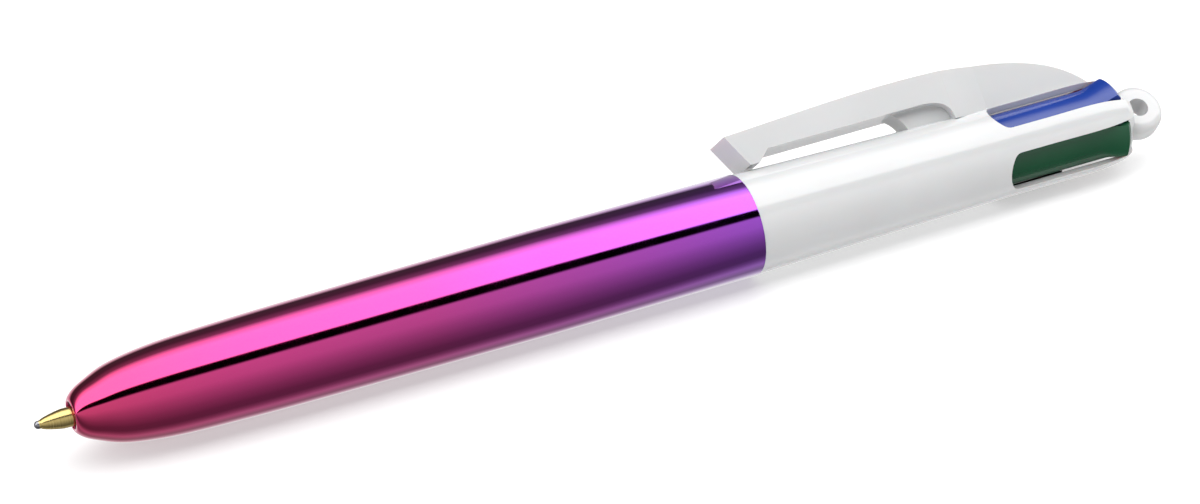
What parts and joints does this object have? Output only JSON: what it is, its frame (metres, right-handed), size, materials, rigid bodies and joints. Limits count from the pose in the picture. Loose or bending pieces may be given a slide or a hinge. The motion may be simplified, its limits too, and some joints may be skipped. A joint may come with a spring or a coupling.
{
  "type": "multicolour click pen",
  "caption": "Ballpoint pen with a metallised front barrel, a white rear barrel with a moulded clip and lanyard ring, and slide pushers that each bring out a refill.",
  "frame": {"origin": "on the pen's axis, at the plane where the two barrels meet", "axes": "+X along the pen's axis from the writing tip to the lanyard ring, +Z towards the blue pusher, +Y towards the red pusher; the clip is half-way between them"},
  "size_m": [0.1522, 0.0169, 0.0169],
  "materials": {
    "lower_barrel": "mirror metallised, crimson at the nose fading to violet at the joint",
    "white_plastic": "glossy",
    "guide_plastic": "satin",
    "blue_plastic": "glossy",
    "green_plastic": "glossy",
    "red_plastic": "glossy",
    "black_plastic": "glossy",
    "tube_plastic": "translucent",
    "blue_ink": "viscous ink",
    "green_ink": "viscous ink",
    "red_ink": "viscous ink",
    "black_ink": "viscous ink",
    "brass": "turned",
    "ball_metal": "polished tungsten carbide",
    "spring_steel": "drawn wire"
  },
  "bodies": {
    "root": {"upper_barrel": "white_plastic", "end_cap": "white_plastic", "refill_guide": "guide_plastic", "spring_blue": "spring_steel", "spring_green": "spring_steel", "spring_red": "spring_steel", "spring_black": "spring_steel"},
    "lower_barrel": {"lower_barrel": "lower_barrel"},
    "pusher_blue": {"pusher_blue": "blue_plastic"},
    "refill_blue": {"refill_tube_blue": "tube_plastic", "ink_blue": "blue_ink", "refill_tip_blue": "brass", "refill_ball_blue": "ball_metal"},
    "pusher_green": {"pusher_green": "green_plastic"},
    "refill_green": {"refill_tube_green": "tube_plastic", "ink_green": "green_ink", "refill_tip_green": "brass", "refill_ball_green": "ball_metal"},
    "pusher_red": {"pusher_red": "red_plastic"},
    "refill_red": {"refill_tube_red": "tube_plastic", "ink_red": "red_ink", "refill_tip_red": "brass", "refill_ball_red": "ball_metal"},
    "pusher_black": {"pusher_black": "black_plastic"},
    "refill_black": {"refill_tube_black": "tube_plastic", "ink_black": "black_ink", "refill_tip_black": "brass", "refill_ball_black": "ball_metal"}
  },
  "joints": [
    {"name": "lower_barrel_slide", "type": "slide", "parent": "root", "child": "lower_barrel", "axis": [-1, 0, 0], "range_m": [0, 0.1]},
    {"name": "blue_slide", "type": "slide", "parent": "root", "child": "pusher_blue", "axis": [-1, 0, 0], "range_m": [0, 0.0085], "stiffness_N_per_m": 100, "springref_m": -0.004, "deforming": ["spring_blue"]},
    {"name": "blue_refill_tilt", "type": "hinge", "parent": "pusher_blue", "child": "refill_blue", "pos_m": [0.0225, 0, 0.0029], "axis": [0, -1, 0], "range_deg": [0, 1.46], "deforming": ["refill_tube_blue", "ink_blue", "refill_tip_blue", "refill_ball_blue"]},
    {"name": "green_slide", "type": "slide", "parent": "root", "child": "pusher_green", "axis": [-1, 0, 0], "range_m": [0, 0.0085], "stiffness_N_per_m": 100, "springref_m": -0.004, "deforming": ["spring_green"]},
    {"name": "green_refill_tilt", "type": "hinge", "parent": "pusher_green", "child": "refill_green", "pos_m": [0.0225, -0.0029, 0], "axis": [0, 0, -1], "range_deg": [0, 1.46], "deforming": ["refill_tube_green", "ink_green", "refill_tip_green", "refill_ball_green"]},
    {"name": "red_slide", "type": "slide", "parent": "root", "child": "pusher_red", "axis": [-1, 0, 0], "range_m": [0, 0.0085], "stiffness_N_per_m": 100, "springref_m": -0.004, "deforming": ["spring_red"]},
    {"name": "red_refill_tilt", "type": "hinge", "parent": "pusher_red", "child": "refill_red", "pos_m": [0.0225, 0.0029, 0], "axis": [0, 0, 1], "range_deg": [0, 1.46], "deforming": ["refill_tube_red", "ink_red", "refill_tip_red", "refill_ball_red"]},
    {"name": "black_slide", "type": "slide", "parent": "root", "child": "pusher_black", "axis": [-1, 0, 0], "range_m": [-0.0085, 0], "deforming": ["spring_black"]},
    {"name": "black_refill_tilt", "type": "hinge", "parent": "pusher_black", "child": "refill_black", "pos_m": [0.014, 0, -0.0029], "axis": [0, 1, 0], "range_deg": [-1.46, 0], "deforming": ["refill_tube_black", "ink_black", "refill_tip_black", "refill_ball_black"]}
  ],
  "couplings": [
    {"joint": "blue_refill_tilt", "follows": "blue_slide", "rad_per_m": 2.9858},
    {"joint": "green_refill_tilt", "follows": "green_slide", "rad_per_m": 2.9858},
    {"joint": "red_refill_tilt", "follows": "red_slide", "rad_per_m": 2.9858},
    {"joint": "black_refill_tilt", "follows": "black_slide", "rad_per_m": 2.9858}
  ]
}
